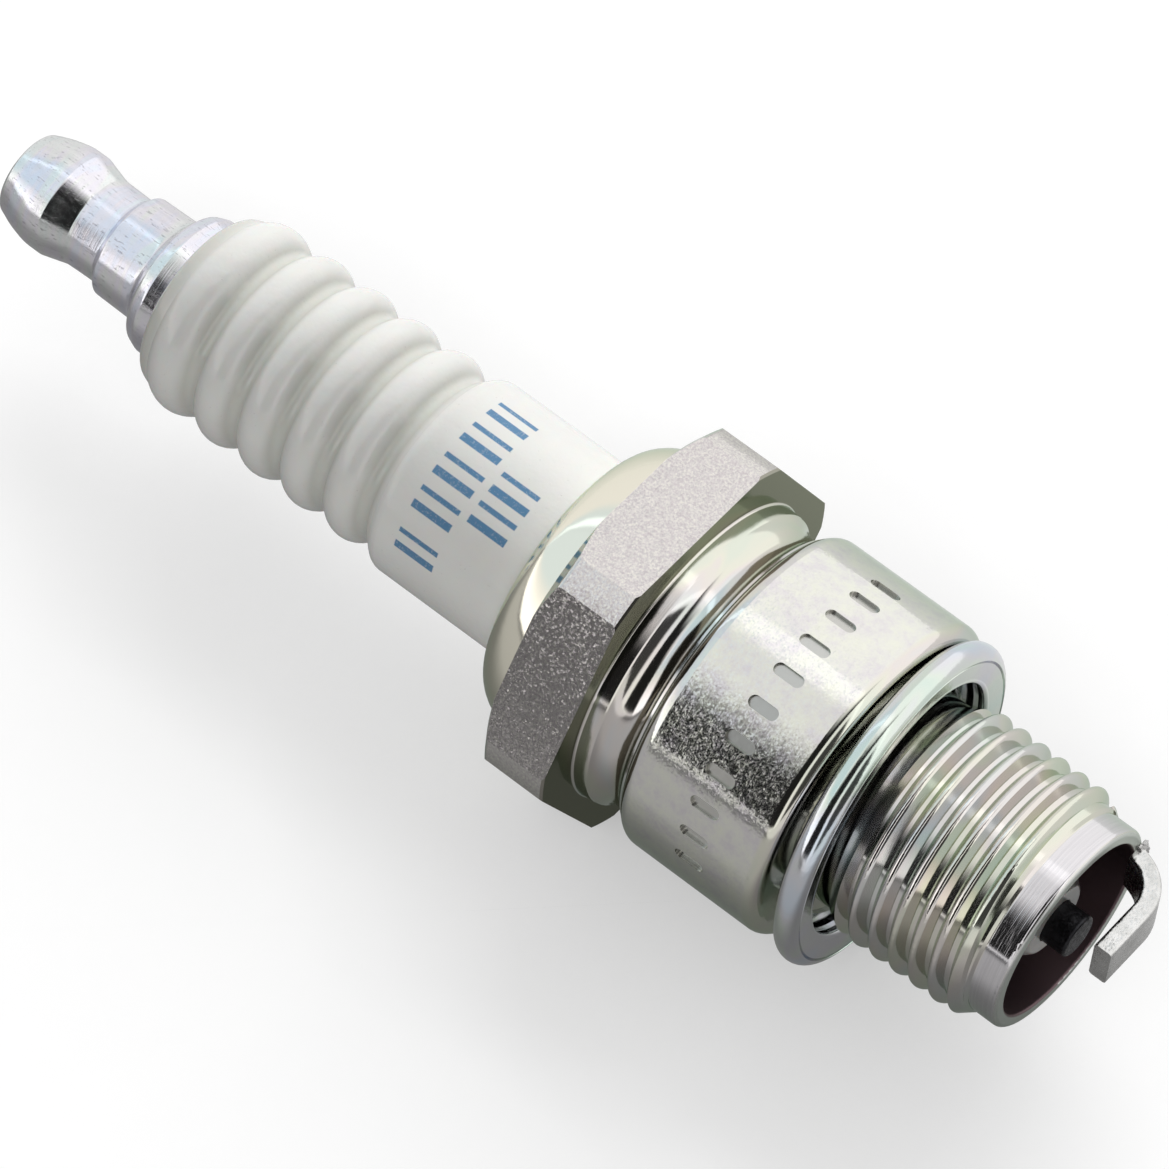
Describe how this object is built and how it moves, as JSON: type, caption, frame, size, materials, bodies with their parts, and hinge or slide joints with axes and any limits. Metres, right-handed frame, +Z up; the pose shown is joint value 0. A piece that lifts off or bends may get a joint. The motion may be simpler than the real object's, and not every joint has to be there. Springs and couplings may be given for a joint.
{
  "type": "spark plug",
  "caption": "Gasket-seat spark plug with a screw-on terminal, ribbed ceramic insulator, hexagon shell, rolled thread and side ground electrode.",
  "frame": {"origin": "on the plug's axis, in the plane of the shell's gasket shoulder, where the thread's reach is measured from", "axes": "+X along the plug's axis towards the firing end, +Z up, with the plug lying on one flat of its hexagon"},
  "size_m": [0.0726, 0.0228, 0.0206],
  "materials": {
    "plated_shell": "zinc-plated steel, satin on the barrel and flats, bright elsewhere",
    "plated_terminal": "bright zinc-plated steel",
    "glazed_alumina": "glossy clear glaze over white alumina",
    "plated_gasket": "bright plated sheet steel",
    "nickel_alloy": "satin nickel alloy",
    "weld_metal": "rough resistance-weld flash",
    "copper": "drawn copper",
    "spring_steel": "drawn spring wire",
    "brass_cap": "pressed brass",
    "resistor_ceramic": "matte fired ceramic",
    "cement": "matte cement",
    "seal_glass": "opaque copper-filled glass",
    "talc": "pressed talc powder",
    "packing_steel": "soft steel"
  },
  "bodies": {
    "plug_body": {"shell": "plated_shell", "insulator": "glazed_alumina", "terminal_stud": "plated_terminal", "stud_cement": "cement", "contact_spring": "spring_steel", "resistor_upper_cap": "brass_cap", "resistor_core": "resistor_ceramic", "resistor_winding": "spring_steel", "resistor_lower_cap": "brass_cap", "glass_seal": "seal_glass", "centre_electrode": "nickel_alloy", "centre_electrode_core": "copper", "upper_packing_ring": "packing_steel", "talc_packing": "talc", "lower_packing_ring": "packing_steel", "inner_seat_washer": "packing_steel", "ground_electrode": "nickel_alloy", "ground_electrode_weld": "weld_metal"},
    "terminal_nut": {"terminal_nut": "plated_terminal"},
    "gasket": {"gasket": "plated_gasket"}
  },
  "joints": [
    {"name": "terminal_nut_unscrew", "type": "slide", "parent": "plug_body", "child": "terminal_nut", "axis": [-1, 0, 0], "range_m": [0, 0.01]},
    {"name": "gasket_float", "type": "slide", "parent": "plug_body", "child": "gasket", "axis": [1, 0, 0], "range_m": [0, 0.0015]}
  ]
}
